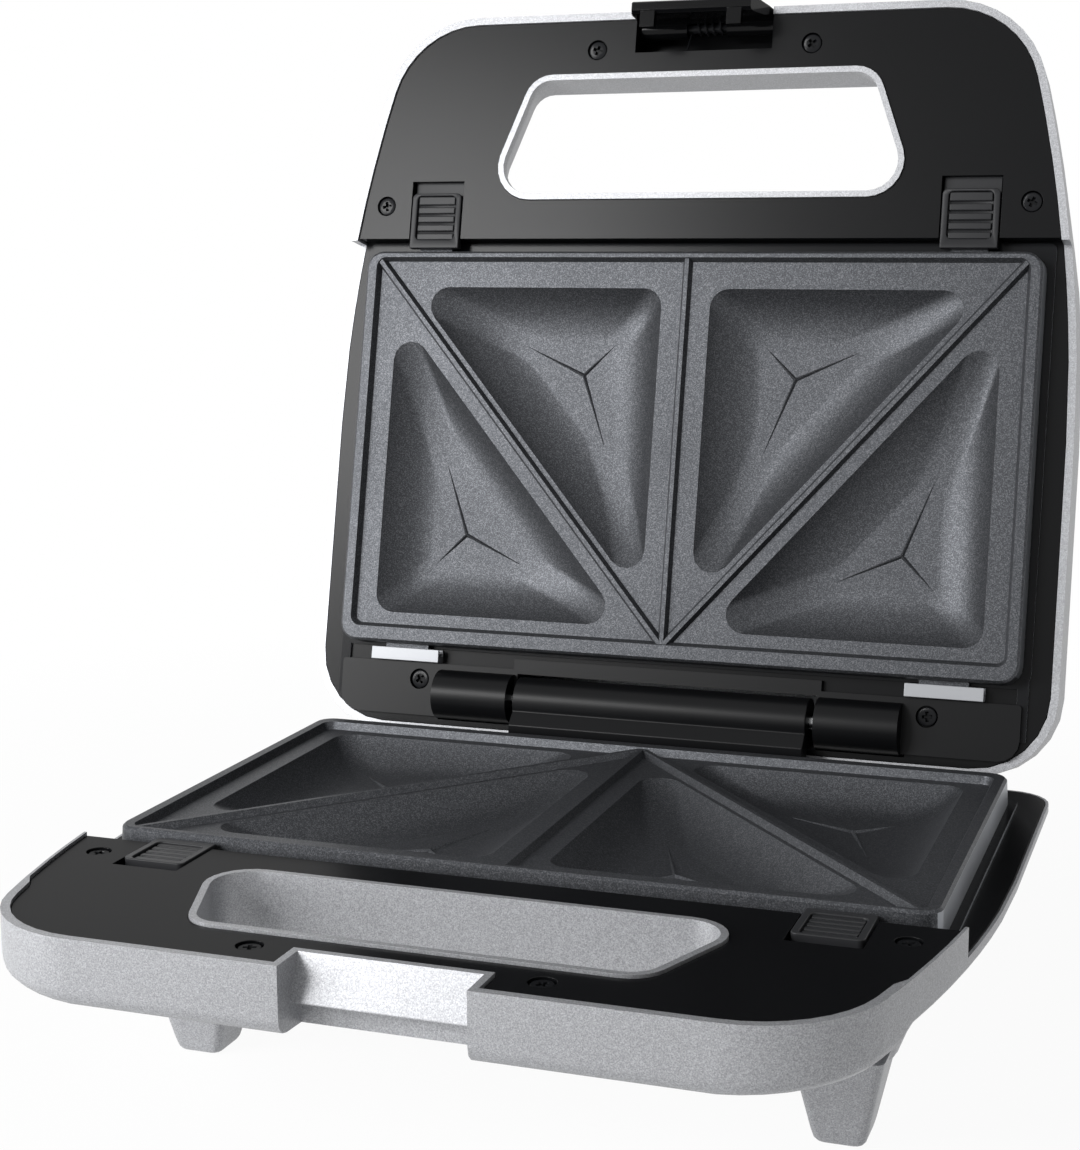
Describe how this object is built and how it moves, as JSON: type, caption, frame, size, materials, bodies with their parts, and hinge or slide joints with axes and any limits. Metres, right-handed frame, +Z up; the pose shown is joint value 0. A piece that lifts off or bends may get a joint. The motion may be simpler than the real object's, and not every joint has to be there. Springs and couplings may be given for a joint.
{
  "type": "sandwich toaster",
  "caption": "Countertop sandwich toaster, lid open: silver shell on feet, dark plates with triangular pockets, carry-handle opening in each half, hooked latch lever, ribbed release buttons.",
  "frame": {"origin": "centre of the footprint of the whole part with the lid open, on the surface it stands on", "axes": "+Z up, -Y towards the handle and the user, +X to the user's right"},
  "size_m": [0.26, 0.3038, 0.3088],
  "materials": {
    "silver_shell": "satin silver with fine metallic flake",
    "black_cover": "satin black",
    "black_hinge": "satin black",
    "non_stick": "dark grey non-stick coating with fine sparkle",
    "tray_metal": "plain sheet",
    "clip_metal": "bright sheet",
    "element_steel": "heat-dulled",
    "bright_steel": "bright",
    "dark_steel": "blackened",
    "button_plastic": "satin dark grey",
    "latch_plastic": "gloss black",
    "pad_rubber": "matte",
    "ceramic_white": "off-white",
    "fuse_sleeve": "fibre sleeve",
    "red_lens": "translucent red",
    "green_lens": "translucent green"
  },
  "bodies": {
    "base": {"base_shell": "silver_shell", "base_cover": "black_cover", "base_hinge_bracket": "black_hinge", "hinge_pin": "bright_steel", "lower_plate": "non_stick", "lower_heating_element": "element_steel", "lower_heat_tray": "tray_metal", "lower_element_clamps": "tray_metal", "lower_rear_clips": "clip_metal", "lower_left_spring": "bright_steel", "lower_right_spring": "bright_steel", "front_left_foot": "silver_shell", "front_right_foot": "silver_shell", "rear_left_foot": "silver_shell", "rear_right_foot": "silver_shell", "foot_pads": "pad_rubber", "base_screws": "dark_steel", "thermostat": "bright_steel", "thermal_fuse": "fuse_sleeve", "terminal_block": "ceramic_white", "cord_grommet": "black_hinge"},
    "lid": {"lid_shell": "silver_shell", "lid_cover": "black_cover", "lid_hinge_panel": "black_hinge", "upper_plate": "non_stick", "upper_heating_element": "element_steel", "upper_heat_tray": "tray_metal", "upper_element_clamps": "tray_metal", "upper_rear_clips": "clip_metal", "upper_left_spring": "bright_steel", "upper_right_spring": "bright_steel", "lid_screws": "dark_steel", "latch_pin": "dark_steel", "latch_spring": "dark_steel", "power_lens": "red_lens", "ready_lens": "green_lens", "indicator_lamps": "ceramic_white"},
    "latch": {"latch_lever": "latch_plastic"},
    "lower_left_button": {"lower_left_button": "button_plastic"},
    "lower_right_button": {"lower_right_button": "button_plastic"},
    "upper_left_button": {"upper_left_button": "button_plastic"},
    "upper_right_button": {"upper_right_button": "button_plastic"}
  },
  "joints": [
    {"name": "lid_hinge", "type": "hinge", "parent": "base", "child": "lid", "pos_m": [0, 0.08703, 0.073], "axis": [1, 0, 0], "range_deg": [0, 103]},
    {"name": "latch_pivot", "type": "hinge", "parent": "lid", "child": "latch", "pos_m": [0, 0.14119, 0.30096], "axis": [-1, 0, 0], "range_deg": [0, 18], "stiffness_Nm_per_rad": 0.06, "springref_deg": -14.32, "deforming": ["latch_spring"]},
    {"name": "lower_left_button_slide", "type": "slide", "parent": "base", "child": "lower_left_button", "axis": [0, -1, 0], "range_m": [0, 0.004], "stiffness_N_per_m": 500, "springref_m": -0.003, "deforming": ["lower_left_spring"]},
    {"name": "lower_right_button_slide", "type": "slide", "parent": "base", "child": "lower_right_button", "axis": [0, -1, 0], "range_m": [0, 0.004], "stiffness_N_per_m": 500, "springref_m": -0.003, "deforming": ["lower_right_spring"]},
    {"name": "upper_left_button_slide", "type": "slide", "parent": "lid", "child": "upper_left_button", "axis": [0, 0.225, 0.9744], "range_m": [0, 0.004], "stiffness_N_per_m": 500, "springref_m": -0.003, "deforming": ["upper_left_spring"]},
    {"name": "upper_right_button_slide", "type": "slide", "parent": "lid", "child": "upper_right_button", "axis": [0, 0.225, 0.9744], "range_m": [0, 0.004], "stiffness_N_per_m": 500, "springref_m": -0.003, "deforming": ["upper_right_spring"]}
  ]
}
